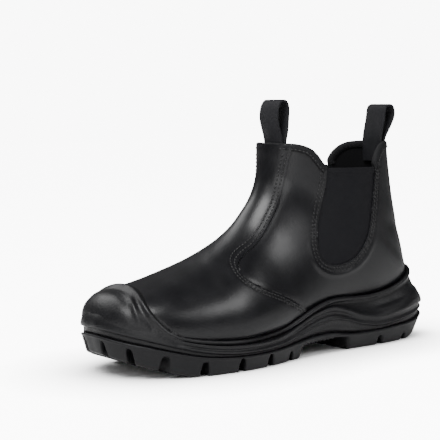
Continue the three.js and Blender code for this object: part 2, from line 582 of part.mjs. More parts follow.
// Insole: a footbed on its board. The board fills the opening under the turned-in leather.
const footbedTop = UNDERFOOT.map(([x, z]) => [x * X, z * Z + WALL + GAP + FOOTBED]);
const footbed = formSolid(-WALL - GAP, INNER_RINGS, INNER_SIDES).intersect(sidePrism([
  [-past, -past], [-past, footbedTop[0][1]], ...footbedTop, [LENGTH + past, footbedTop.at(-1)[1]],
  [LENGTH + past, -past],
]));
const board = underfootPlug(GAP, -WALL, WALL + GAP + 1).intersect(outerForm);
const insole = unite(footbed, board);

function meshOf(name, solid, colour, roughness) {
  const { vertProperties, triVerts } = solid.getMesh();
  const geometry = new THREE.BufferGeometry();
  geometry.setAttribute("position", new THREE.BufferAttribute(new Float32Array(vertProperties), 3));
  geometry.setIndex(new THREE.BufferAttribute(new Uint32Array(triVerts), 1));
  geometry.computeVertexNormals();
  const material = new THREE.MeshStandardMaterial({ color: colour, roughness, metalness: 0 });
  const mesh = new THREE.Mesh(geometry, material);
  mesh.name = name;
  return mesh;
}

const boot = new THREE.Group();
boot.add(
  meshOf("upper", upper, COLOURS.leather, 0.42),
  meshOf("gore_left", goreLayer.intersect(sideOfBoot(true)), COLOURS.elastic, 0.9),
  meshOf("gore_right", goreLayer.intersect(sideOfBoot(false)), COLOURS.elastic, 0.9),
  meshOf("collar_binding_front", binding(frontRim, 1).subtract(loopSlot), COLOURS.tape, 0.8),
  meshOf("collar_binding_rear", binding(rearRim, -1).subtract(loopSlot), COLOURS.tape, 0.8),
  meshOf("pull_loop_front", frontLoop, COLOURS.webbing, 0.85),
  meshOf("pull_loop_rear", rearLoop, COLOURS.webbing, 0.85),
  meshOf("insole", insole, COLOURS.footbed, 0.9),
  meshOf("midsole", midsole, COLOURS.sole, 0.6),
  meshOf("outsole", outsole, COLOURS.outsole, 0.65),
);

// The boot stands on the floor, centred on its own box.
boot.updateMatrixWorld(true);
const bounds = new THREE.Box3().setFromObject(boot);
boot.position.set(-(bounds.min.x + bounds.max.x) / 2, -(bounds.min.y + bounds.max.y) / 2, -bounds.min.z);

export default boot;
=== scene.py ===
"""A black slip-on safety boot for the left foot: leather upper, elastic gores, webbing loops and a moulded
sole that climbs over the steel toe. Sizes are in millimetres in the boot's own frame, X from the heel to the
toe, Y to the wearer's left and Z up, and become metres where a mesh is made."""
import math

import bpy
import numpy as np
from mathutils import Matrix, Vector


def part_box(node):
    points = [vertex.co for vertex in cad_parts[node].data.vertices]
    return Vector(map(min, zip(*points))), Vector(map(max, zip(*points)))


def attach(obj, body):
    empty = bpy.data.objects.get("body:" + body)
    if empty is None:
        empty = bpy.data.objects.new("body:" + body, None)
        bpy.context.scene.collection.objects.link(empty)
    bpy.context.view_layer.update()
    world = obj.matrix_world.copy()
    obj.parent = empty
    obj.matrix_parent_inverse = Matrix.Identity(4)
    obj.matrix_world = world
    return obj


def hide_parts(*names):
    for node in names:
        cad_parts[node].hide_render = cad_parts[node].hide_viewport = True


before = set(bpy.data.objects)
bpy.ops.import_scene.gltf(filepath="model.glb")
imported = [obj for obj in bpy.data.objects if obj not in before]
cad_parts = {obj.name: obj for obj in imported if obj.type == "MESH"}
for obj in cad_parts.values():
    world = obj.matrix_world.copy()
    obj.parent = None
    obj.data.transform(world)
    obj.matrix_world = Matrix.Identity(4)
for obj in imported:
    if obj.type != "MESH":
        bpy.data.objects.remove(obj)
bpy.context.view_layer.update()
MM = 0.001

# Sizes, in mm
LENGTH, BALL_WIDTH, COLLAR_HEIGHT, SIDE_HEIGHT = 305.0, 108.0, 165.0, 42.0
WALL = 2.3  # leather and lining
BACK_STRIP = 15.0  # half the width of the strip down the back
VAMP_STEP = 1.15  # the vamp lies this far over the quarters
GORE_SINK = 1.0  # the elastic lies this far under the leather's face
GORE_TUCK, GORE_WALL = 3.0, 1.5  # how far the elastic runs on behind the leather, and its thickness
TAPE_WALL, TAPE_DEPTH = 1.0, 5.0
BUMPER_WALL = 2.8  # sole's skin over the toe and up the heel
HEEL_LEDGE = 1.3  # step round the back of the heel
GROOVE_DEPTH = 1.8  # shadow groove over the outsole
STITCH_LENGTH, STITCH_PITCH, STITCH_THICK = 2.3, 3.1, 1.25
VAMP_STITCHES, GORE_STITCHES = (1.7, 3.9), (2.2, 4.9)  # how far each row lies from the leather's edge
TAPE_STITCHES = 3.6  # how far the row lies from the collar's edge
WEBBING_WIDTH, WEBBING_THICK = 23.5, 1.8
COLLAR_BEND = 3.2  # how far the collar curves away over half the strap's width
# Bends across the vamp: x on the middle line, how far forward each runs per mm of width, its depth and width.
VAMP_BENDS = [[196.0, 0.25, 0.12, 5.0], [207.0, 0.3, 0.2, 6.0], [219.0, 0.2, 0.12, 6.0]]
# Rows and columns of the grids that the pieces are cut from.
LEATHER_GRID, LINING_GRID, BUMPER_GRID = (330, 280), (120, 120), (360, 340)

# Sections of the upper from toe to collar: instep point x, z; underfoot point x, z; half width left, right;
# shift; where the section is widest; squareness above and below. In hundredths of LENGTH, COLLAR_HEIGHT and
# BALL_WIDTH.
SECTIONS = [
    [96.9, 23.4, 96.9, 22.2, 2.0, 2.0, -5.0, 0.5, 2.0, 2.0],
    [96.4, 27.6, 96.4, 20.0, 12.5, 12.5, -5.0, 0.5, 2.0, 2.0],
    [95.3, 31.4, 95.3, 18.4, 21.3, 21.3, -4.9, 0.45, 2.0, 2.2],
    [93.4, 34.4, 93.6, 16.8, 29.3, 29.0, -4.7, 0.42, 2.1, 2.4],
    [90.4, 36.4, 90.7, 14.8, 36.3, 36.0, -4.2, 0.4, 2.2, 2.6],
    [86.0, 38.3, 86.5, 12.6, 42.6, 42.6, -3.4, 0.36, 2.2, 2.8],
    [79.8, 41.2, 80.5, 10.9, 46.9, 46.9, -2.2, 0.32, 2.1, 3.0],
    [72.6, 45.6, 73.2, 9.8, 49.3, 48.6, -0.8, 0.3, 2.0, 3.0],
    [66.6, 50.4, 65.6, 9.6, 49.8, 46.2, 0.4, 0.28, 1.9, 3.0],
    [61.0, 56.0, 55.7, 10.8, 46.0, 41.0, 0.6, 0.28, 1.85, 2.9],
    [56.7, 62.0, 45.2, 13.4, 39.4, 35.6, 0.2, 0.3, 1.85, 2.8],
    [53.6, 68.2, 34.8, 16.7, 34.8, 32.8, 0.0, 0.34, 1.9, 2.7],
    [51.1, 74.2, 23.6, 18.5, 33.0, 32.2, 0.0, 0.4, 1.95, 2.5],
    [49.5, 80.3, 11.8, 19.6, 32.4, 31.8, 0.0, 0.46, 2.0, 2.3],
    [48.5, 86.0, 3.6, 25.5, 32.4, 31.8, 0.0, 0.52, 2.05, 2.1],
    [48.0, 91.0, 4.2, 38.0, 32.6, 32.0, 0.0, 0.54, 2.1, 2.0],
    [47.8, 95.2, 6.1, 53.0, 32.8, 32.3, 0.0, 0.55, 2.1, 2.0],
    [47.6, 98.8, 7.8, 68.0, 32.9, 32.5, 0.0, 0.56, 2.1, 2.0],
    [47.4, 101.8, 8.8, 81.0, 33.0, 32.7, 0.0, 0.56, 2.1, 2.0],
    [47.3, 104.8, 9.5, 93.0, 33.1, 32.9, 0.0, 0.56, 2.1, 2.0],
    [47.2, 110.0, 10.2, 106.0, 33.2, 33.0, 0.0, 0.56, 2.1, 2.0],
]
# Lines on the upper in the side view: x in hundredths of LENGTH, z in hundredths of COLLAR_HEIGHT.
VAMP_SEAM = [
    [43.4, 104.0], [44.2, 96.4], [44.9, 89.4], [46.0, 80.1], [47.9, 71.3], [50.9, 63.5], [53.9, 57.6],
    [57.1, 53.3], [60.0, 50.6], [62.7, 47.6], [64.0, 44.8], [64.0, 41.6], [62.4, 38.4], [58.8, 34.8],
    [53.9, 31.2], [50.2, 27.9], [47.4, 25.1], [44.6, 21.5], [42.0, 15.0],
]
GORE_EDGE = [
    [35.9, 87.2], [36.2, 79.4], [37.3, 70.0], [38.8, 58.6], [39.2, 49.6], [38.2, 44.6], [35.4, 41.7],
    [31.5, 41.6], [27.7, 44.0], [24.9, 48.8], [22.7, 56.4], [21.0, 70.5], [19.3, 86.2],
]
FRONT_RIM = [
    [35.9, 87.2], [37.2, 89.8], [38.4, 93.0], [40.1, 96.2], [42.6, 98.2], [45.5, 99.0], [49.8, 99.4],
]
REAR_RIM = [
    [19.3, 86.2], [19.5, 88.8], [18.1, 92.8], [15.7, 96.1], [12.5, 97.3], [4.5, 97.6],
]
BUMPER_EDGE = [
    [76.0, 10.0], [81.0, 16.2], [83.4, 18.9], [86.2, 22.0], [88.3, 26.5], [89.2, 31.0], [88.6, 35.2],
    [86.2, 40.0], [83.0, 46.0],
]
BUMPER_CREASE = [
    [91.0, 20.0], [91.6, 24.5], [91.9, 29.0], [91.4, 33.0], [89.6, 36.5], [86.8, 40.0], [84.0, 46.0],
]
# The sole's outline: x in hundredths of LENGTH; y to the left and to the right in hundredths of BALL_WIDTH.
OUTLINE = [
    [-1.4, 0.0, 0.0], [-0.7, 9.0, -9.0], [1.4, 17.0, -17.0], [5.2, 24.5, -24.0], [11.0, 30.5, -29.5],
    [20.0, 34.3, -32.5], [31.0, 35.6, -32.0], [41.0, 37.5, -31.0], [49.0, 42.0, -33.0],
    [56.5, 48.3, -38.5], [64.0, 52.4, -45.0], [71.0, 53.0, -49.5], [78.0, 50.8, -50.6],
    [84.5, 45.5, -48.8], [90.0, 37.0, -43.8], [94.3, 27.0, -36.2], [97.2, 14.5, -25.0],
    [98.5, 3.5, -14.0], [98.6, -4.8, -4.8],
]
# Up the sole's side: x; lip, wave ridge, lower edge, outsole's upper edge and underside in hundredths of
# SIDE_HEIGHT; how far the ridge stands out, the hollow over it is deep and the tread's edge is set in, in
# hundredths of BALL_WIDTH.
SIDE = [
    [-1.4, 139.0, 69.0, 58.0, 48.0, 26.0, 0.9, 2.2, 5.5],
    [1.4, 138.0, 68.5, 56.0, 44.0, 12.0, 0.9, 2.2, 5.5],
    [5.2, 128.0, 68.0, 51.0, 38.5, 3.0, 0.9, 2.0, 5.5],
    [8.5, 116.0, 65.5, 48.0, 36.0, 0.0, 0.9, 1.8, 5.5],
    [13.0, 105.0, 61.0, 44.0, 34.5, 0.0, 0.8, 1.8, 5.5],
    [20.0, 97.0, 55.7, 41.0, 31.7, 0.0, 0.6, 1.7, 5.5],
    [26.0, 97.0, 62.0, 47.0, 31.0, 0.0, 0.3, 1.5, 5.5],
    [31.0, 100.0, 75.0, 58.0, 33.0, 0.0, 0.2, 1.5, 5.5],
    [36.0, 100.0, 83.8, 64.0, 38.5, 0.0, 0.2, 1.5, 5.0],
    [42.0, 91.0, 76.5, 57.5, 38.0, 0.0, 0.1, 1.4, 5.0],
    [48.0, 75.0, 62.0, 46.0, 34.0, 0.0, 0.0, 1.0, 4.5],
    [53.0, 62.0, 52.0, 38.5, 30.5, 0.0, 0.0, 0.7, 3.5],
    [58.0, 56.5, 46.5, 35.3, 28.8, 0.0, 0.0, 0.6, 3.0],
    [65.0, 54.8, 45.0, 34.2, 28.4, 0.0, 0.0, 0.5, 3.0],
    [72.0, 57.0, 47.5, 37.0, 30.4, 0.0, 0.0, 0.5, 3.0],
    [79.0, 64.0, 55.5, 45.5, 36.4, 0.0, 0.0, 0.4, 3.0],
    [85.0, 74.0, 66.5, 57.0, 46.4, 7.0, 0.0, 0.3, 3.2],
    [91.0, 86.0, 79.5, 70.5, 58.5, 19.0, 0.0, 0.2, 3.5],
    [95.5, 96.0, 89.5, 81.0, 67.5, 31.0, 0.0, 0.1, 3.8],
    [98.6, 101.0, 96.0, 89.0, 76.0, 41.0, 0.0, 0.0, 4.0],
]
BREAST, FORE_TREAD_END, ARCH_RISE = 30.5, 47.5, 26.0  # arch, in hundredths of LENGTH and SIDE_HEIGHT
FAIRING, FAIRING_RISE = (83.0, 90.0), 13.0  # where the side goes over into the toe bumper, and how high in mm
# Tread grooves: x at the outer edge in hundredths of LENGTH, width at the floor in mm, how far the groove
# turns forward towards the middle in degrees, and its height at the edge in mm.
GROOVES = [
    [9.5, 5.5, 8.0, 9.5], [19.5, 6.5, 0.0, 10.5], [51.0, 4.2, 0.0, 8.0], [59.0, 6.0, 0.0, 10.0],
    [68.2, 6.5, 3.0, 10.5], [78.3, 7.0, 6.0, 11.0], [87.0, 7.0, 12.0, 12.5],
]
# Notches round the toe: direction from its middle in degrees, width in mm.
TOE_MIDDLE, TOE_NOTCHES = (245.0, 2.0), [[31.0, 6.5], [6.0, 6.0], [-20.0, 6.0], [-44.0, 6.5]]
TOE_NOTCH_DEPTH = 12.0
TREAD_REACH = 50.0  # from the tread's middle to its side
# Channels along the tread: how far the two fore ones lie from the middle, half widths, depth, first and
# last x.
FORE_CHANNELS, FORE_CHANNEL, HEEL_CHANNEL = 17.0, 2.2, 2.5
CHANNEL_DEPTH, CHANNEL_ENDS = 4.5, (22.0, 274.0)
TOOTH_PITCH, TOOTH_HEIGHT = 4.2, 1.6  # teeth under the arch
# One hundredth of the length, of the collar's height, of the ball's width and of the sole's side, in mm.
SX, SZ, SY, SS = LENGTH / 100, COLLAR_HEIGHT / 100, BALL_WIDTH / 100, SIDE_HEIGHT / 100

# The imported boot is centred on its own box; the heel's tip and the widest point give the shift from the
# tables' frame.
HEEL_TIP = OUTLINE[0][0] * SX - SIDE[0][6] * SY
WIDEST_LEFT = 57.3
sole_low, sole_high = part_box("midsole")
SHIFT = np.array([sole_low.x / MM - HEEL_TIP, sole_high.y / MM - WIDEST_LEFT, 0.0])


# Curves and forms
def between(rows, place):
    """Rows of a table at places between its rows, by a smooth curve through them."""
    rows = np.asarray(rows, float)
    last = len(rows) - 1
    place = np.clip(np.asarray(place, float), 0, last)
    i = np.minimum(np.floor(place).astype(int), last - 1)
    t = (place - i)[..., None]
    a, b, d, e = (rows[np.clip(i + k, 0, last)] for k in (-1, 0, 1, 2))
    return b + 0.5 * t * (d - a + t * (2 * a - 5 * b + 4 * d - e + t * (3 * (b - d) + e - a)))


def row_at(rows, x):
    """Rows of a table whose first column is x, at given values of x."""
    rows = np.asarray(rows, float)
    last = len(rows) - 1
    x = np.clip(np.asarray(x, float), rows[0, 0], rows[-1, 0])
    i = np.clip(np.searchsorted(rows[:, 0], x) - 1, 0, last - 1)
    p, q, r, s = (rows[np.clip(i + k, 0, last)] for k in (-1, 0, 1, 2))
    span = (r[..., :1] - q[..., :1])
    t = (x[..., None] - q[..., :1]) / span
    m0 = (r - p) / (r[..., :1] - p[..., :1]) * span
    m1 = (s - q) / (s[..., :1] - q[..., :1]) * span
    from_ends = (2 * t**3 - 3 * t**2 + 1) * q + (3 * t**2 - 2 * t**3) * r
    return from_ends + (t**3 - 2 * t**2 + t) * m0 + (t**3 - t**2) * m1


SECTION_SCALE = np.array([SX, SZ, SX, SZ, SY, SY, SY, 1, 1, 1])
TOP_PLACE = len(SECTIONS) - 1.0


def sections_at(place):
    return np.moveaxis(between(SECTIONS, place) * SECTION_SCALE, -1, 0)


def bare_form(place, angle):
    """Points of the upper's outer form; angle runs from the instep line round by the left."""
    tx, tz, bx, bz, left, right, shift, widest, square_top, square_low = sections_at(place)
    side, up = np.sin(angle), np.cos(angle)
    power = 2 / np.where(up >= 0, square_top, square_low)
    share = widest + np.where(up >= 0, 1 - widest, -widest) * np.abs(up) ** power
    y = shift + np.sign(side) * np.where(side >= 0, left, right) * np.abs(side) ** power
    return np.stack([bx + (tx - bx) * share, y, bz + (tz - bz) * share], -1)


def form_normal(place, angle, step=0.02):
    along = bare_form(np.minimum(place + step, TOP_PLACE), angle)
    along = along - bare_form(np.maximum(place - step, 0), angle)
    normal = np.cross(bare_form(place, angle + step) - bare_form(place, angle - step), along)
    return normal / np.maximum(np.linalg.norm(normal, axis=-1, keepdims=True), 1e-9)


def above_section(place, x, z):
    tx, tz, bx, bz, *_ = sections_at(place)
    return (x - bx) * (tz - bz) - (z - bz) * (tx - bx) < 0


def place_at(x, z):
    """The section that passes through points of the side view."""
    x, z = np.broadcast_arrays(np.asarray(x, float), np.asarray(z, float))
    low, high = np.zeros(x.shape), np.full(x.shape, TOP_PLACE)
    for _ in range(30):
        middle = (low + high) / 2
        above = above_section(middle, x, z)
        low, high = np.where(above, middle, low), np.where(above, high, middle)
    return low


def angle_at(x, z, left=True):
    """Place and angle of the surface points seen at x and z from one side."""
    place = place_at(x, z)
    tx, tz, bx, bz, _, _, _, widest, square_top, square_low = sections_at(place)
    share = ((x - bx) * (tx - bx) + (z - bz) * (tz - bz)) / ((tx - bx) ** 2 + (tz - bz) ** 2)
    share = np.clip(share, 0.0, 1.0)
    top = share > widest
    far = np.where(top, (share - widest) / (1 - widest), (widest - share) / widest)
    up = far ** (np.where(top, square_top, square_low) / 2)
    angle = np.where(top, np.arccos(up), math.pi - np.arccos(up))
    return place, angle if left else -angle


def half_width(x, z, left):
    """How far the form reaches to one side at points of the side view; negative outside it."""
    place = place_at(x, z)
    tx, tz, bx, bz, wl, wr, shift, widest, square_top, square_low = sections_at(place)
    share = ((x - bx) * (tx - bx) + (z - bz) * (tz - bz)) / ((tx - bx) ** 2 + (tz - bz) ** 2)
    top = share > widest
    far = np.clip(np.where(top, (share - widest) / (1 - widest), (widest - share) / widest), 0, 1)
    square = np.where(top, square_top, square_low)
    wide = np.where(left, wl, wr) * (1 - far**square) ** (1 / square)
    inside = (share > 0) & (share < 1) & above_section(np.zeros_like(place), x, z)
    return np.where(inside, wide, -1.0), shift


def smooth_line(line, steps):
    return between(line, np.linspace(0, len(line) - 1, (len(line) - 1) * steps + 1))


def on_upper(line, steps=6):
    return smooth_line(line, steps) * np.array([SX, SZ])


def side_distance(line, x, z):
    """Signed distance in the side view to a line; positive on its left."""
    shape = np.shape(x)
    p = np.stack([np.ravel(x), np.ravel(z)], -1)
    best = np.full(len(p), 1e9)
    offset = np.zeros(len(p))
    for a, b in zip(line[:-1], line[1:]):
        d = b - a
        t = np.clip(((p - a) @ d) / (d @ d), 0, 1)
        away = p - (a + t[:, None] * d)
        far = np.hypot(away[:, 0], away[:, 1])
        off = (d[0] * (p[:, 1] - a[1]) - d[1] * (p[:, 0] - a[0])) / np.hypot(*d)
        near = (far < best - 1e-7) | ((far < best + 1e-7) & (np.abs(off) > np.abs(offset)))
        offset = np.where(near, off, offset)
        best = np.where(near, far, best)
    return (best * np.where(offset < 0, -1, 1)).reshape(shape)


def mix(a, b, t):
    return a + (b - a) * t


def ease(value, low, high):
    t = np.clip((value - low) / (high - low), 0, 1)
    return t * t * (3 - 2 * t)


def ridge(value, middle, width):
    return np.exp(-(((value - middle) / width) ** 2))


vamp_seam, gore_edge = on_upper(VAMP_SEAM), on_upper(GORE_EDGE)
front_rim, rear_rim = on_upper(FRONT_RIM), on_upper(REAR_RIM)
bumper_edge, bumper_crease = on_upper(BUMPER_EDGE), on_upper(BUMPER_CREASE)
gore_top = np.array([gore_edge[-1], gore_edge[0]])
collar_line = np.concatenate([front_rim[::-1], rear_rim])


# Meshes
def make_piece(name, points, faces, material, slot, replaces=()):
    """An object from points in the tables' frame, riding on the boot's one body."""
    mesh = bpy.data.meshes.new(name)
    mesh.from_pydata(((np.asarray(points) + SHIFT) * MM).tolist(), [], [list(map(int, f)) for f in faces])
    mesh.validate()
    mesh.polygons.foreach_set("use_smooth", [True] * len(mesh.polygons))
    mesh.materials.append(material)
    piece = bpy.data.objects.new(name, mesh)
    bpy.context.scene.collection.objects.link(piece)
    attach(piece, "root")
    if replaces:
        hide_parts(*replaces)
    return piece


def grid_faces(rows, columns, closed, keep=None):
    """Quads of a grid of points, kept where every corner is kept."""
    i, k = np.meshgrid(np.arange(rows - 1), np.arange(columns if closed else columns - 1), indexing="ij")
    k2 = (k + 1) % columns
    quads = np.stack([i * columns + k, i * columns + k2, (i + 1) * columns + k2, (i + 1) * columns + k], -1)
    quads = quads.reshape(-1, 4)
    if keep is not None:
        quads = quads[np.ravel(keep)[quads].all(axis=1)]
    return quads


def drop_loose(points, faces):
    used, back = np.unique(np.asarray(faces), return_inverse=True)
    return np.asarray(points).reshape(-1, 3)[used], back.reshape(np.shape(faces))


def snap(place, angle, fields):
    """Moves the grid points nearest to each line onto it, so that a cut along the line is clean."""
    marks = []
    for field in fields:
        distance = field(bare_form(place, angle))
        down = np.gradient(distance, axis=0)
        round_ = (np.roll(distance, -1, 1) - np.roll(distance, 1, 1)) / 2
        steep = np.maximum(down**2 + round_**2, 1e-6)
        move_down, move_round = -distance * down / steep, -distance * round_ / steep
        near = (np.abs(move_down) <= 0.5) & (np.abs(move_round) <= 0.5) & (np.abs(distance) < 4)
        place = np.where(near, place + move_down * (place[1, 0] - place[0, 0]), place)
        angle = np.where(near, angle + move_round * 2 * math.pi / angle.shape[1], angle)
        marks.append(near)
    distances = [np.where(near, 0.0, field(bare_form(place, angle))) for near, field in zip(marks, fields)]
    return place, angle, marks, distances


def snapped_faces(shape, marks, keep):
    """Triangles of a snapped grid, split between points on a line, kept where every corner is kept."""
    quads = grid_faces(*shape, True)
    on_line = np.zeros(len(quads), bool)
    for mark in marks:
        corner = np.ravel(mark)[quads]
        on_line |= corner[:, 1] & corner[:, 3] & ~(corner[:, 0] & corner[:, 2])
    first = np.where(on_line[:, None], quads[:, [0, 1, 3]], quads[:, [0, 1, 2]])
    second = np.where(on_line[:, None], quads[:, [1, 2, 3]], quads[:, [0, 2, 3]])
    faces = np.vstack([first, second])
    return faces[np.ravel(keep)[faces].all(axis=1)]


def add_walls(points, faces, out, depth):
    """Adds a wall down from every open edge of a sheet, against its outward direction."""
    points, out = np.asarray(points).reshape(-1, 3), np.asarray(out).reshape(-1, 3)
    edges = np.vstack([faces[:, [0, 1]], faces[:, [1, 2]], faces[:, [2, 0]]])
    key = np.sort(edges, axis=1)
    _, first, count = np.unique(key, axis=0, return_index=True, return_counts=True)
    edges = edges[first[count == 1]]
    used, back = np.unique(edges, return_inverse=True)
    back = back.reshape(edges.shape)
    top, low = len(points), len(points) + len(used)
    a, b = back[:, 0], back[:, 1]
    upper_half = np.stack([b + top, a + top, a + low], -1)
    lower_half = np.stack([b + top, a + low, b + low], -1)
    points = np.vstack([points, points[used], points[used] - out[used] * depth])
    return points, np.vstack([faces, upper_half, lower_half])


def solidify(piece, thickness):
    """Gives a shell its thickness, inwards."""
    bpy.context.view_layer.objects.active = piece
    modifier = piece.modifiers.new("thickness", "SOLIDIFY")
    modifier.thickness, modifier.offset = thickness * MM, -1
    bpy.ops.object.modifier_apply(modifier="thickness")


# Materials
def srgb(code):
    """A colour's linear values, from its sRGB hex code."""
    parts = [int(code[i:i + 2], 16) / 255 for i in (1, 3, 5)]
    return (*[p / 12.92 if p <= 0.04045 else ((p + 0.055) / 1.055) ** 2.4 for p in parts], 1.0)


def add_node(tree, kind, inputs=(), **settings):
    """Adds a node with its settings, and sets or links its inputs."""
    node = tree.nodes.new(kind)
    for key, value in settings.items():
        setattr(node, key, value)
    for key, value in dict(inputs).items():
        if isinstance(value, bpy.types.NodeSocket):
            tree.links.new(value, node.inputs[key])
        else:
            node.inputs[key].default_value = value
    return node


# Each kind of bump: its node, the node's inputs and settings, and how many of its grains or threads lie side
# by side in a length of 1 at scale 1.
BUMPS = {
    "noise": ("ShaderNodeTexNoise", {"Detail": 4.0}, {}, 1.0),
    "cells": ("ShaderNodeTexVoronoi", {}, {}, 1.0),
    "ribs": ("ShaderNodeTexWave", {"Distortion": 0.0}, {"bands_direction": "X"}, 10 / math.pi),
    "weave": ("ShaderNodeTexWave", {"Distortion": 1.0}, {"bands_direction": "DIAGONAL"}, 8.66 / math.pi),
}
DRIFT = 26.3  # mm between a surface's lighter and darker places


def surface(name, dark, light, roughness, bumps, coat=0.0, specular=0.5, sheen=0.0):
    """A finish whose colour and gloss drift slowly; a bump is (kind, size in mm, strength, depth in mm)."""
    material = bpy.data.materials.new(name)
    material.use_nodes = True
    tree = material.node_tree
    shader = tree.nodes["Principled BSDF"]
    place = add_node(tree, "ShaderNodeTexCoord").outputs["Object"]
    drift = add_node(tree, "ShaderNodeTexNoise", {"Vector": place, "Scale": 1 / (DRIFT * MM), "Detail": 5.0,
                                                  "Roughness": 0.6}).outputs[0]
    colour = add_node(tree, "ShaderNodeMix", {0: drift, 6: srgb(dark), 7: srgb(light)}, data_type="RGBA")
    tree.links.new(colour.outputs[2], shader.inputs["Base Color"])
    gloss = add_node(tree, "ShaderNodeMapRange", {"Value": drift, "From Min": 0.3, "From Max": 0.7,
                                                  "To Min": roughness[0], "To Max": roughness[1]})
    tree.links.new(gloss.outputs[0], shader.inputs["Roughness"])
    normal = None
    for kind, size, strength, depth in bumps:
        pattern, inputs, settings, per_length = BUMPS[kind]
        scale = 1 / (size * MM * per_length)
        source = add_node(tree, pattern, {"Vector": place, "Scale": scale, **inputs}, **settings)
        inputs = {"Height": source.outputs[0], "Strength": strength, "Distance": depth * MM}
        if normal is not None:
            inputs["Normal"] = normal
        normal = add_node(tree, "ShaderNodeBump", inputs).outputs[0]
    if normal is not None:
        tree.links.new(normal, shader.inputs["Normal"])
    shader.inputs["Coat Weight"].default_value = coat
    shader.inputs["Coat Roughness"].default_value = 0.3
    shader.inputs["Specular IOR Level"].default_value = specular
    shader.inputs["Sheen Weight"].default_value = sheen
    return material


# Full-grain leather, smooth and waxed, so it shines softly over a fine grain. The pores are drawn about twice
# as coarse as they are, so that they show.
LEATHER = surface("black_full_grain_leather", "#060608", "#0b0b0f", (0.3, 0.4),
                  [("cells", 1.11, 0.24, 0.14), ("noise", 8.33, 0.14, 0.5)], coat=0.04, specular=0.36)
# Felt-like textile lining, matt.
LINING = surface("textile_lining", "#060607", "#0b0b0d", (0.85, 0.95), [("noise", 0.714, 0.4, 0.2)],
                 specular=0.15)
# Woven elastic, matt, with upright ribs.
ELASTIC = surface("woven_elastic", "#0a0a0d", "#111115", (0.75, 0.9),
                  [("ribs", 0.748, 0.35, 0.25), ("noise", 0.625, 0.3, 0.2)], specular=0.2)
# Woven binding tape, matt.
TAPE = surface("woven_tape", "#08080a", "#0e0e11", (0.7, 0.85), [("weave", 0.403, 0.4, 0.2)], specular=0.25)
# Nylon webbing with a twill weave, a little shinier than the tape.
WEBBING = surface("nylon_webbing", "#0c0c0f", "#131318", (0.62, 0.8), [("weave", 0.403, 0.45, 0.25)],
                  specular=0.25)
# Bonded nylon sewing thread, with a slight shine.
THREAD = surface("bonded_thread", "#020203", "#060608", (0.5, 0.65), [("noise", 0.333, 0.3, 0.1)])
# Dense polyurethane with the light texture of its mould, drawn two or three times as coarse as it is.
MOULDED = surface("moulded_polyurethane", "#060608", "#0b0b0e", (0.38, 0.5),
                  [("cells", 1.54, 0.45, 0.25), ("noise", 5.0, 0.1, 0.4)], specular=0.34)
# Nitrile rubber, a little duller.
RUBBER = surface("nitrile_rubber", "#08080a", "#0e0e11", (0.42, 0.55), [("noise", 2.0, 0.25, 0.2)],
                 specular=0.25)
# Knitted cover of the footbed, matt.
FOOTBED = surface("knitted_footbed", "#0b0b0d", "#131417", (0.85, 0.95), [("weave", 0.726, 0.5, 0.3)],
                  sheen=0.2)


# Upper
def form_grid(rows, columns):
    places = np.linspace(0, TOP_PLACE, rows)
    angles = np.linspace(0, 2 * math.pi, columns, endpoint=False)
    place, angle = np.meshgrid(places, angles, indexing="ij")
    return place, angle, bare_form(place, angle), form_normal(place, angle)


def lip_height(x):
    return row_at(SIDE, x / SX)[..., 1] * SS


def creases(x, y, z):
    """Soft troughs where the boot bends: across the vamp, and round the ankle over the heel."""
    flex = 0.0
    for start, slope, depth, width in VAMP_BENDS:
        lie = x - (start + slope * np.abs(y) + 2.0 * np.sin(y / 13.0))
        flex = flex - depth * ridge(lie, 0, width) * ease(z, 40, 62)
    ankle = -0.5 * ridge(z - (96 + 0.25 * (x - 40)), 0, 7) * ease(60 - x, 0, 25)
    return flex + ankle


# How far points of the form lie inside the vamp, inside the gore and under the collar's edge, seen from the
# side.
def to_vamp_at(body):
    return side_distance(vamp_seam, body[..., 0], body[..., 2])


def in_gore_at(body):
    x, z = body[..., 0], body[..., 2]
    inside = -side_distance(gore_edge, x, z)
    beside = (x < gore_edge[:, 0].min() - 12) | (x > gore_edge[:, 0].max() + 12)
    return np.where(beside | (z > gore_top[:, 1].mean() + 3), -30.0, inside)


def under_rim_at(body):
    return side_distance(collar_line, body[..., 0], body[..., 2])


place, angle, _, _ = form_grid(*LEATHER_GRID)
place, angle, marks, (to_vamp, in_gore, to_rim) = snap(place, angle, (to_vamp_at, in_gore_at, under_rim_at))
body, out = bare_form(place, angle), form_normal(place, angle)
x, y, z = body[..., 0], body[..., 1], body[..., 2]
bends = creases(x, y, z)
covered = (to_rim >= 0) & (z > lip_height(x) - 7) & (place > 2.0)

# Vamp: the front leather, lying over the quarters, pulled down a little by its two rows of stitches.
lift = VAMP_STEP + bends - 0.15 * ease(0.9 - to_vamp, 0, 0.9) - 0.22 * ridge(to_vamp, 2.8, 1.7)
points = body + out * lift[..., None]
faces = snapped_faces(place.shape, marks, covered & (to_vamp >= 0))
points, faces = add_walls(points, faces, out, 1.2)
make_piece("leather_vamp", *drop_loose(points, faces), LEATHER, "leather", ("upper",))

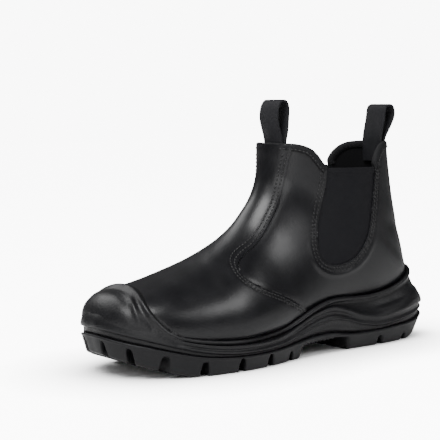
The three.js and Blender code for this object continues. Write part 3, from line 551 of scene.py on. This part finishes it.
# Quarters: both sides and the strip down the back, cut out round the elastic.
strip = BACK_STRIP - np.abs(y)  # positive on the strip down the back
at_back = ease(45 - x, 0, 8) * ease(z, 40, 50)
lift = bends - 0.3 * ridge(to_vamp, -0.6, 2.0)
lift += (0.55 * ease(strip, -0.4, 0.5) - 0.4 * ridge(strip, -1.6, 1.2)) * at_back
lift -= 0.35 * ease(in_gore, -1.3, 0) + 0.3 * ridge(in_gore, -2.4, 0.9) + 0.3 * ridge(in_gore, -5.0, 0.9)
lift += 0.2 * ridge(in_gore, -3.7, 0.7) + 1.0 * ridge(in_gore, -7.6, 2.0) * ease(90 - z, 0, 20)
points = body + out * lift[..., None]
faces = snapped_faces(place.shape, marks, covered & (to_vamp <= 0) & (in_gore <= 0))
points, faces = add_walls(points, faces, out, 1.6)
make_piece("leather_quarters", *drop_loose(points, faces), LEATHER, "leather", ("upper",))

# Lining: the same form, seen from inside.
place, angle, body, out = form_grid(*LINING_GRID)
points = body - out * WALL
keep = under_rim_at(body) > -0.4
faces = grid_faces(*place.shape, True, keep)[:, ::-1]
make_piece("lining", *drop_loose(points, faces), LINING, "leather")


def surface_at(x, z, left, lift):
    """Points and normals of the upper at places of the side view."""
    place, angle = angle_at(np.asarray(x, float), np.asarray(z, float), left)
    normal = form_normal(place, angle)
    return bare_form(place, angle) + normal * lift, normal


# Elastic gores: set under the leather, with a hem along the top.
for side, left in (("left", True), ("right", False)):
    across, up = np.meshgrid(np.linspace(0, 1, 90), np.linspace(0, 1, 110), indexing="ij")
    low_x, high_x = gore_edge[:, 0].min() - GORE_TUCK, gore_edge[:, 0].max() + GORE_TUCK
    x = low_x + (high_x - low_x) * across
    top_z = np.interp(x, gore_top[:, 0], gore_top[:, 1])
    z = gore_edge[:, 1].min() - GORE_TUCK + (top_z - gore_edge[:, 1].min() + GORE_TUCK) * up
    hem = 0.5 * ease(z, top_z - 4.6, top_z - 4.0)
    points, _ = surface_at(x, z, left, (hem - GORE_SINK - 0.3)[..., None])
    keep = -side_distance(gore_edge, x, z) > -GORE_TUCK
    faces = grid_faces(*x.shape, False, keep)
    points, faces = drop_loose(points, faces if left else faces[:, ::-1])
    gore = make_piece("elastic_gore_" + side, points, faces, ELASTIC, "elastic", ("gore_" + side,))
    solidify(gore, GORE_WALL)


# Binding of the collar
ANKLE_SECTION = 14  # from this section up the boot's front and back both rise


def middle_reach(z, ahead):
    """x of the form's middle line at a height, at the front or the back of the collar."""
    rows = np.array(SECTIONS)[ANKLE_SECTION:]
    along, up = (0, 1) if ahead else (2, 3)
    return np.interp(z, rows[:, up] * SZ, rows[:, along] * SX)


def tape(name, rim, ahead, node):
    """Binding folded over a rim: a U that follows the wall's two faces."""
    count = 110
    line = between(rim, np.linspace(0, len(rim) - 1, count))
    reach = middle_reach(line[:, 1], ahead)
    stop = np.argmax(line[:, 0] > reach - 0.15) if ahead else np.argmax(line[:, 0] < reach + 0.15)
    stop = stop if stop > 0 else count
    line = line[:stop]
    last_x = middle_reach(line[-1, 1], ahead)
    line = np.vstack([line, [last_x - 0.02 if ahead else last_x + 0.02, line[-1, 1]]])
    along = np.gradient(line, axis=0)
    along /= np.linalg.norm(along, axis=1, keepdims=True)
    down = np.stack([along[:, 1], -along[:, 0]], -1) * (1 if ahead else -1)
    # Round the U from its outer end to its inner one: how deep under the rim, how far out of the form.
    profile = [(TAPE_DEPTH, 0.1), (TAPE_DEPTH, TAPE_WALL * 0.8), (TAPE_DEPTH - 0.6, TAPE_WALL),
               (1.0, TAPE_WALL + 0.15), (-0.4, TAPE_WALL * 0.75), (-0.9, -WALL * 0.2), (-0.9, -WALL * 0.8),
               (-0.4, -WALL - TAPE_WALL * 0.75), (1.0, -WALL - TAPE_WALL),
               (TAPE_DEPTH - 0.6, -WALL - TAPE_WALL), (TAPE_DEPTH, -WALL - 0.1)]
    rings = []
    for left in (True, False):
        ring = []
        for depth, lift in profile:
            spot = line + down * depth
            reach = middle_reach(spot[:, 1], ahead)
            spot_x = np.minimum(spot[:, 0], reach - 0.02) if ahead else np.maximum(spot[:, 0], reach + 0.02)
            points, _ = surface_at(spot_x, spot[:, 1], left, lift)
            ring.append(points)
        rings.append(np.stack(ring, 1))
    points = np.concatenate([rings[0], rings[1][::-1]])
    faces = grid_faces(*points.shape[:2], True)
    faces = faces if not ahead else faces[:, ::-1]
    make_piece(name, points.reshape(-1, 3), faces, TAPE, "tape", (node,))


tape("binding_front", front_rim, True, "collar_binding_front")
tape("binding_rear", rear_rim, False, "collar_binding_rear")


# Sole
def stations(per_row):
    """Points round the sole's outline with the outward direction, left side first, then right."""
    last = len(OUTLINE) - 1
    places = np.linspace(0, last, last * per_row + 1)
    sides = []
    for column, turn in ((1, 1), (2, -1)):
        def at(p):
            row = between(OUTLINE, p)
            return np.stack([row[..., 0] * SX, row[..., column] * SY], -1)
        along = at(np.minimum(places + 0.05, last)) - at(np.maximum(places - 0.05, 0))
        along /= np.linalg.norm(along, axis=1, keepdims=True)
        outward = np.stack([-along[:, 1], along[:, 0]], -1) * turn
        outward[0], outward[-1] = (-1, 0), (1, 0)
        sides.append((at(places), outward))
    (left, left_out), (right, right_out) = sides
    return np.vstack([left, right[-2:0:-1]]), np.vstack([left_out, right_out[-2:0:-1]]), len(places)


def form_inset(here, outward, z, most=34.0):
    """How far inside the outline the upper's form lies at a height."""
    found = np.full(len(here), most)
    done = np.zeros(len(here), bool)
    for step in np.linspace(-2.0, most, 73):
        spot = here - outward * step
        wide, shift = half_width(spot[:, 0], z, spot[:, 1] > -2.0)
        inside = (np.abs(spot[:, 1] - shift) < wide) & ~done
        found = np.where(inside, step, found)
        done |= inside
    return found


def smoothed(ring, reach=4):
    """Numbers round the outline, each the mean of itself and its neighbours."""
    around = np.concatenate([ring[-reach:], ring, ring[:reach]])
    return np.convolve(around, np.ones(2 * reach + 1) / (2 * reach + 1), "valid")


here, outward, half_count = stations(24)
share = here[:, 0] / SX
side = row_at(SIDE, share)
lip, wave, lower, bead, floor = (side[:, c] * SS for c in (1, 2, 3, 4, 5))
floor = np.maximum(floor, 0)
proud, hollow, set_in = (side[:, c] * SY for c in (6, 7, 8))
at_toe = ease(share, 80, 88)
inset = smoothed(form_inset(here, outward, lip))
lip_out = np.minimum(0, (BUMPER_WALL - 0.2) * (1 - at_toe) + 0.6 * at_toe - inset)
hollow = hollow * (1 - at_toe) * mix(0.35, 1.2, ease(share, 6, 24))


def loft_side(levels):
    """Rings round the outline from (distance out, z), top first."""
    rings = [np.column_stack([here + outward * np.reshape(d, (-1, 1)), z]) for d, z in levels]
    return np.stack(rings)


levels = [(lip_out - 3.2, lip - 1.4), (lip_out - 1.4, lip), (lip_out, lip + 0.5), (lip_out + 1.0, lip + 0.2),
          (lip_out + 1.6, lip - 0.8), (lip_out + 1.6, lip - 2.0), (lip_out + 0.8, lip - 3.1)]
top_out, top_z = lip_out + 0.1, lip - 3.6
for t in np.linspace(0.1, 0.9, 12):
    dish = np.sin(math.pi * t) ** 0.8
    ledge = HEEL_LEDGE * ease(t, 0.5, 0.62) * ease(t, 1.3, 0.7) * ease(22 - share, 0, 5)
    levels.append((mix(top_out, proud, t) - hollow * dish + ledge, mix(top_z, wave + 1.0, t)))
levels += [(proud, wave + 0.8), (proud + 0.15, wave), (proud - 0.1, wave - 0.9)]
rib = ease(share, 27, 33) * ease(52 - share, 0, 8)
for t in np.linspace(0.15, 0.9, 12):
    wave_rib = 1.1 * rib * np.maximum(np.sin(2 * math.pi * t * 2.0), 0) ** 2
    levels.append((mix(proud - 0.6, 0.0, t) - 0.9 * np.sin(math.pi * t) * (1 - at_toe) - wave_rib,
                   mix(wave - 1.2, lower + 0.7, t)))
# Over the toe the bumper runs straight down to the groove, so there the side is evened out to a fairing.
fairing = ease(share, *FAIRING)
fair_top = lip + FAIRING_RISE
fair_inset = smoothed(form_inset(here, outward, fair_top))
for k, (d, high) in enumerate(levels):
    t = k / (len(levels) - 1)
    fair_out = mix(BUMPER_WALL - 0.5 - fair_inset, 0.15, 1 - (1 - t) ** 1.8)
    levels[k] = (mix(d, fair_out, fairing), mix(high, mix(fair_top, lower + 0.9, t), fairing))
levels += [(0.1, lower + 0.5), (0.1, lower), (-0.5, lower - 0.6), (-GROOVE_DEPTH, lower - 1.1),
           (-GROOVE_DEPTH - 0.3, mix(lower - 1.1, bead, 0.5)), (-GROOVE_DEPTH, bead),
           (-GROOVE_DEPTH - 6, bead)]
rings = loft_side(levels)
faces = grid_faces(rings.shape[0], rings.shape[1], True)
make_piece("moulded_side", rings.reshape(-1, 3), faces[:, ::-1], MOULDED, "moulded_side", ("midsole",))

# The skin over the toe: the form again, raised, with a rim round its rear edge.
place, angle, _, _ = form_grid(*BUMPER_GRID)
front = place[:, 0] < 8.5  # the sections that the bumper lies on
place, angle = place[front], angle[front]


def ahead_at(body):
    return -side_distance(bumper_edge, body[..., 0], body[..., 2])


place, angle, marks, (ahead,) = snap(place, angle, (ahead_at,))
body, out = bare_form(place, angle), form_normal(place, angle)
x, y, z = body[..., 0], body[..., 1], body[..., 2]
crease = -side_distance(bumper_crease, x, z)
lift = BUMPER_WALL + 0.2 - 0.9 * ease(1.0 - ahead, 0, 1.0)
lift += 1.1 * ridge(ahead, 2.2, 1.4) - 0.7 * ridge(ahead, 5.6, 1.8)
lift += (0.9 * ridge(crease, 0.0, 1.4) - 0.6 * ridge(crease, 3.2, 1.8)) * ease(z, 36, 52)
lift += 0.9 * ridge(z, 50, 14) * ease(x, 272, 288)
points = body + out * lift[..., None]
keep = (ahead >= 0) & (z > row_at(SIDE, x / SX)[..., 3] * SS - 2)
faces = snapped_faces(place.shape, marks, keep)
points, faces = add_walls(points, faces, out, BUMPER_WALL + 1.0)
make_piece("toe_bumper", *drop_loose(points, faces), MOULDED, "moulded_side")

# Outsole: bead, side of the lugs, tread. A groove is cut by raising what lies in it.
tread_edge = set_in * 0.8
levels = [(-GROOVE_DEPTH - 5, bead - 0.3), (-GROOVE_DEPTH * 0.6, bead - 0.3), (-0.1, bead - 0.7),
          (0.1, bead - 1.5), (-0.5, bead - 2.3)]
for t in np.linspace(0.08, 1.0, 14):
    levels.append((mix(-0.5, -tread_edge, t), mix(bead - 2.3, floor + 1.4, t)))
levels += [(-tread_edge - 0.5, floor + 0.5), (-tread_edge - 1.4, floor)]
rings = loft_side(levels)
count = rings.shape[1]
left_edge, right_edge = rings[-1][:half_count], rings[-1][(-np.arange(half_count)) % count]
across = np.linspace(0, 1, 90)
bottom = left_edge[:, None] * (1 - across)[None, :, None] + right_edge[:, None] * across[None, :, None]


def groove_at(lie, width):
    """1 in the middle of a groove, falling steeply to 0 at its edges."""
    return 1 - np.clip(np.abs(lie) / (width / 2), 0, 1) ** 5.0


def tread_lift(points):
    """Raises what lies inside the tread's grooves and under the arch."""
    x, y, z = points[..., 0], points[..., 1], points[..., 2]
    base = np.maximum(row_at(SIDE, x / SX)[..., 5], 0) * SS
    roof = row_at(SIDE, x / SX)[..., 4] * SS
    middle = 2.5 * np.sin(np.clip(x, 0, LENGTH) / 40)
    aside = np.abs(y - middle)

    def cut(lifted, groove, depth):
        return np.maximum(lifted, np.where(groove > 0, np.minimum(base + depth * groove, roof - 1.2), z))

    lifted = z
    for centre, width, fan, depth in GROOVES:
        lie = x - centre * SX - math.tan(math.radians(fan)) * (TREAD_REACH - np.abs(y)) * 0.5
        lifted = cut(lifted, groove_at(lie, width), mix(5.0, depth, ease(aside / TREAD_REACH, 0.45, 0.8)))
    from_toe = points[..., :2] - TOE_MIDDLE
    away, turn = np.hypot(from_toe[..., 0], from_toe[..., 1]), np.arctan2(from_toe[..., 1], from_toe[..., 0])
    for direction, width in TOE_NOTCHES:
        lie = turn - math.radians(direction)
        notch = np.where((np.cos(lie) > 0) & (away > 16), groove_at(away * np.sin(lie), width), 0)
        lifted = cut(lifted, notch, TOE_NOTCH_DEPTH)
    fore = ease(FORE_CHANNEL - np.abs(aside - FORE_CHANNELS), -0.3, 0.6) * (x > FORE_TREAD_END * SX)
    heel = ease(HEEL_CHANNEL - aside, -0.3, 0.6) * (x < BREAST * SX)
    first, last = CHANNEL_ENDS
    channel = np.maximum(fore, heel) * ease(x, first, first + 4) * ease(last - x, 0, 5)
    lifted = np.maximum(lifted, mix(z, base + CHANNEL_DEPTH, channel) * (channel > 0))
    arch = ease(x, BREAST * SX - 0.8, BREAST * SX + 2.4) * ease(FORE_TREAD_END * SX - x, -0.8, 5.0)
    tooth = np.sin(x * 2 * math.pi / TOOTH_PITCH) > 0.2
    teeth = TOOTH_HEIGHT * tooth * ease(np.abs(y), 22, 27) * ease(x, 108, 112)
    arch_top = ARCH_RISE * SS + 1.5 * np.sin((x - BREAST * SX) / 52 * math.pi) - teeth
    return np.maximum(lifted, np.where(arch > 0, mix(z, np.minimum(arch_top, roof - 1.5), arch), z))


side_points, bottom_points = rings.copy(), bottom.copy()
side_points[..., 2], bottom_points[..., 2] = tread_lift(rings), tread_lift(bottom)
side_faces = grid_faces(rings.shape[0], count, True)[:, ::-1]
bottom_faces = grid_faces(*bottom.shape[:2], False) + rings.shape[0] * count
points = np.vstack([side_points.reshape(-1, 3), bottom_points.reshape(-1, 3)])
faces = np.vstack([side_faces, bottom_faces])
make_piece("outsole_tread", points, faces, RUBBER, "tread", ("outsole",))


# Stitches
def stitch_row(line, left, lift, shift):
    """Middles, directions and normals of stitches along a line of the side view, moved left by shift."""
    along = np.gradient(line, axis=0)
    along /= np.linalg.norm(along, axis=1, keepdims=True)
    moved = line + np.stack([-along[:, 1], along[:, 0]], -1) * shift
    points, normals = surface_at(moved[:, 0], moved[:, 1], left, lift)
    far = np.concatenate([[0], np.cumsum(np.linalg.norm(np.diff(points, axis=0), axis=1))])
    spots = np.arange(STITCH_PITCH / 2, far[-1], STITCH_PITCH)

    def pick(data, at):
        return np.stack([np.interp(at, far, data[:, c]) for c in range(3)], -1)

    middles = pick(points, spots)
    heading = pick(points, spots + 0.8) - pick(points, spots - 0.8)
    heading /= np.maximum(np.linalg.norm(heading, axis=1, keepdims=True), 1e-9)
    return middles, heading, pick(normals, spots)


def stitch_mesh(name, rows):
    """One mesh of all the stitches: each a short thread that dips into its holes."""
    middles, heading, normals = (np.vstack(part) for part in zip(*rows))
    normals /= np.linalg.norm(normals, axis=1, keepdims=True)
    aside = np.cross(heading, normals)
    aside /= np.maximum(np.linalg.norm(aside, axis=1, keepdims=True), 1e-9)
    rings, corners = 5, 6
    points, faces = [], []
    for i in range(rings):
        t = i / (rings - 1) * 2 - 1
        for k in range(corners):
            turn = 2 * math.pi * k / corners
            thick = STITCH_THICK / 2 * math.sqrt(max(1 - 0.75 * t * t, 0.05))
            height = math.sin(turn) * thick * 0.8 - 0.35 * t * t
            points.append(middles + heading * (t * STITCH_LENGTH / 2) + aside * (math.cos(turn) * thick)
                          + normals * height)
    points = np.stack(points, 1)
    for i in range(rings - 1):
        for k in range(corners):
            a, b = i * corners + k, i * corners + (k + 1) % corners
            faces.append([a, b, b + corners, a + corners])
    per = rings * corners
    every = (np.arange(len(middles)) * per)[:, None, None] + np.array(faces)[None]
    make_piece(name, points.reshape(-1, 3), every.reshape(-1, 4), THREAD, "leather")


rows = []
seam_part = vamp_seam[8:-8]  # without its ends under the tape and the sole
for left in (True, False):
    for shift in VAMP_STITCHES:
        rows.append(stitch_row(seam_part, left, VAMP_STEP + 0.05, shift))
    for shift in GORE_STITCHES:
        rows.append(stitch_row(gore_edge, left, 0.05, shift))
    for rim, turn, ahead in ((front_rim, -1, True), (rear_rim, 1, False)):
        reach = middle_reach(rim[:, 1], ahead)
        inside = (rim[:, 0] < reach - 3) if ahead else (rim[:, 0] > reach + 3)
        rows.append(stitch_row(rim[inside], left, TAPE_WALL + 0.2, turn * TAPE_STITCHES))
stitch_mesh("stitches", rows)

# Pull loops
# Middle line of each strap in the side view, from its sewn outer end over the top to its inner end, as x and
# z from the top of the collar at the loop, in mm. The front's x runs forward and the rear's backward.
FRONT_LOOP = [
    [-1.6, -16], [-1.6, -6], [-1.2, 3], [-0.4, 11], [-0.2, 20], [-1.6, 27.4], [-4.6, 31.8], [-8.4, 32.4],
    [-10.9, 29.2], [-11.0, 22], [-8.6, 12], [-5.2, 3], [-3.9, -4], [-3.7, -16],
]
REAR_LOOP = [
    [-1.6, -16], [-1.4, -6], [-0.2, 3], [3.2, 11], [6.2, 19], [6.8, 24.6], [5.2, 28.2], [1.8, 29.0],
    [-1.8, 26.8], [-3.4, 20], [-4.1, 11], [-4.1, 3], [-3.9, -4], [-3.7, -16],
]


def strap(name, line, foot, ahead, node):
    """A woven strap swept along its middle line; its sewn end follows the curve of the collar."""
    path = between(line, np.linspace(0, len(line) - 1, 110))
    along = np.gradient(path, axis=0)
    along /= np.linalg.norm(along, axis=1, keepdims=True)
    out = np.stack([along[:, 1], -along[:, 0]], -1)
    half, thick, edge = WEBBING_WIDTH / 2, WEBBING_THICK / 2, 0.35
    across = np.array([-half, -half, -half + edge, 0, half - edge, half, half, half - edge, 0, -half + edge])
    lift = np.array([-thick + edge, thick - edge, thick, thick, thick, thick - edge, edge - thick, -thick,
                     -thick, -thick])
    spot = path[:, None] + out[:, None] * lift[None, :, None]
    flat = ease(spot[..., 1], 0, 22)
    wave = 0.35 * np.sin(path[:, 1] / 9.0)[:, None]
    x = foot[0] + (spot[..., 0] - COLLAR_BEND * (across / half) ** 2 * (1 - flat)) * (1 if ahead else -1)
    points = np.stack([x, foot[1] + across[None] + wave, foot[2] + spot[..., 1]], -1)
    faces = grid_faces(*points.shape[:2], True)
    make_piece(name, points.reshape(-1, 3), faces if ahead else faces[:, ::-1], WEBBING, "webbing", (node,))


# The last two numbers say where a strap stands: x and y from the middle of the collar's front or back.
for name, line, rim, ahead, node, (foot_x, foot_y) in (
        ("front_loop", FRONT_LOOP, FRONT_RIM, True, "pull_loop_front", (-3.0, 2.5)),
        ("rear_loop", REAR_LOOP, REAR_RIM, False, "pull_loop_rear", (0.2, 0.0))):
    top = rim[-1][1] * SZ
    strap(name, line, (float(middle_reach(top, ahead)) + foot_x, foot_y, top), ahead, node)

# The footbed is the solid as it stands.
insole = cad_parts["insole"]
insole.data.materials.clear()
insole.data.materials.append(FOOTBED)

# Floor, light and camera
PAPER_GLOW = 9.0  # the paper glows for camera rays only, so it shows white
PAINTED_SHADOW_REACH, PAINTED_SHADOW_POWER = 0.08, 3.2  # how far the painted contact shadow reaches, in metres, and its strength
bpy.ops.mesh.primitive_plane_add(size=8.0, location=(0, 0, 0))
floor_plane = bpy.context.active_object
floor_plane.name = "studio_floor"
# Matt white paper sweep that glows white to the camera, with a painted contact shadow darkening its glow near
# the boot.
paper = surface("white_paper", "#f4f4f4", "#f6f6f6", (0.85, 0.95), [])
glowing_paper = paper.node_tree
seen = add_node(glowing_paper, "ShaderNodeLightPath").outputs["Is Camera Ray"]
# Painted contact shadow: ambient occlusion near the boot darkens the paper's glow.
painted_shadow = add_node(glowing_paper, "ShaderNodeAmbientOcclusion", {"Distance": PAINTED_SHADOW_REACH}, samples=16).outputs["AO"]
painted_shadow = add_node(glowing_paper, "ShaderNodeMath", {0: painted_shadow, 1: PAINTED_SHADOW_POWER}, operation="POWER").outputs[0]
seen = add_node(glowing_paper, "ShaderNodeMath", {0: seen, 1: PAPER_GLOW}, operation="MULTIPLY").outputs[0]
glow = add_node(glowing_paper, "ShaderNodeMath", {0: seen, 1: painted_shadow}, operation="MULTIPLY")
glowing_paper.nodes["Principled BSDF"].inputs["Emission Color"].default_value = (1, 1, 1, 1)
glowing_paper.links.new(glow.outputs[0], glowing_paper.nodes["Principled BSDF"].inputs["Emission Strength"])
floor_plane.data.materials.append(paper)

WORLD_LIGHT, WORLD_SEEN = 0.1, 9.0  # the studio is dim round the boot and white behind it
world = bpy.context.scene.world or bpy.data.worlds.new("studio")
bpy.context.scene.world = world
world.use_nodes = True
backdrop = world.node_tree
for_camera = add_node(backdrop, "ShaderNodeLightPath").outputs["Is Camera Ray"]
glow = add_node(backdrop, "ShaderNodeMapRange", {"Value": for_camera, "To Min": WORLD_LIGHT,
                                                 "To Max": WORLD_SEEN})
backdrop.nodes["Background"].inputs[0].default_value = (1, 1, 1, 1)
backdrop.links.new(glow.outputs[0], backdrop.nodes["Background"].inputs[1])

# Where the camera stood: turned from the boot's left side towards its toe, a little over the floor. The lens
# and the place of the boot's middle in the picture are in pixels of the photograph.
TURN, RISE, ROLL = 35.0, 6.4, -1.4
DISTANCE, FOCAL_PIXELS, PICTURE, MIDDLE = 1200.0, 1540.0, 440.0, (261.3, 251.5)
TARGET = np.array([150.0, 0.0, 80.0])
turn, rise = math.radians(TURN), math.radians(RISE)
back = Vector((math.sin(turn) * math.cos(rise), math.cos(turn) * math.cos(rise), math.sin(rise)))
target = Vector((TARGET + SHIFT) * MM)
camera_data = bpy.data.cameras.new("camera")
camera = bpy.data.objects.new("camera", camera_data)
bpy.context.scene.collection.objects.link(camera)
camera_data.sensor_width = 36.0
camera_data.lens = FOCAL_PIXELS / PICTURE * camera_data.sensor_width
camera_data.shift_x = -(MIDDLE[0] - PICTURE / 2) / PICTURE
camera_data.shift_y = (MIDDLE[1] - PICTURE / 2) / PICTURE
camera.location = target + back * DISTANCE * MM
turned = (-back).to_track_quat("-Z", "Y").to_matrix().to_4x4() @ Matrix.Rotation(math.radians(ROLL), 4, "Z")
camera.matrix_world = Matrix.Translation(camera.location) @ turned
bpy.context.scene.camera = camera


def softbox(name, spot, size, power, aim=(0.0, 0.0, 0.08)):
    light = bpy.data.lights.new(name, "AREA")
    light.shape, light.size, light.size_y, light.energy = "RECTANGLE", size[0], size[1], power
    lamp = bpy.data.objects.new(name, light)
    bpy.context.scene.collection.objects.link(lamp)
    lamp.location = spot
    lamp.rotation_euler = (Vector(aim) - Vector(spot)).to_track_quat("-Z", "Y").to_euler()


# Place and size in metres, power in watts.
softbox("key", (0.75, 0.35, 1.3), (0.8, 0.8), 31.0)
softbox("side", (-0.6, 1.3, 1.1), (0.7, 0.7), 14.0)
softbox("low", (1.2, 1.2, 0.5), (1.0, 0.6), 8.0)
softbox("rim", (0.4, -1.2, 1.2), (0.9, 0.9), 12.0)
